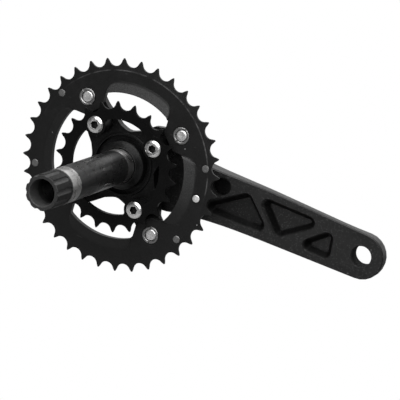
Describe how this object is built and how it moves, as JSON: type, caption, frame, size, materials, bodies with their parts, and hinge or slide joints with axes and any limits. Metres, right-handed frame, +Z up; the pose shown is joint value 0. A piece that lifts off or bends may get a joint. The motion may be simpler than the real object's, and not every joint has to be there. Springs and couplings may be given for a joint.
{
  "type": "bicycle crankset",
  "caption": "Drive-side bicycle crank arm with hollow splined spindle, four-arm spider and two toothed chainrings held by bolts and sleeve nuts.",
  "frame": {"origin": "on the spindle's axis, in the plane of the outer chainring's teeth", "axes": "-Y along the spindle towards the frame, +X along the arm to the pedal, +Z up in the picture's sense"},
  "size_m": [0.2646, 0.1538, 0.1474],
  "materials": {
    "anodised_arm": "satin black anodised, finely speckled",
    "anodised_ring": "satin black anodised, worn bright on the tooth edges",
    "blackened_steel": "satin black with two bare ground bands",
    "bright_steel": "bright plated steel",
    "seal_rubber": "black, greased"
  },
  "bodies": {
    "crankset": {"crank_arm": "anodised_arm", "spindle": "blackened_steel", "outer_chainring": "anodised_ring", "inner_chainring": "anodised_ring", "chain_stop_pin": "bright_steel", "outer_nut_1": "bright_steel", "outer_nut_2": "bright_steel", "outer_nut_3": "bright_steel", "outer_nut_4": "bright_steel", "outer_bolt_1": "bright_steel", "outer_bolt_2": "bright_steel", "outer_bolt_3": "bright_steel", "outer_bolt_4": "bright_steel", "inner_bolt_1": "bright_steel", "inner_bolt_2": "bright_steel", "inner_bolt_3": "bright_steel", "inner_bolt_4": "bright_steel", "shift_pin_1": "bright_steel", "shift_pin_2": "bright_steel", "shift_pin_3": "bright_steel", "shift_pin_4": "bright_steel"},
    "seal": {"seal_ring": "seal_rubber"}
  },
  "joints": [
    {"name": "seal_turn", "type": "hinge", "parent": "crankset", "child": "seal", "pos_m": [0, 0, 0], "axis": [0, 1, 0], "continuous": true}
  ]
}
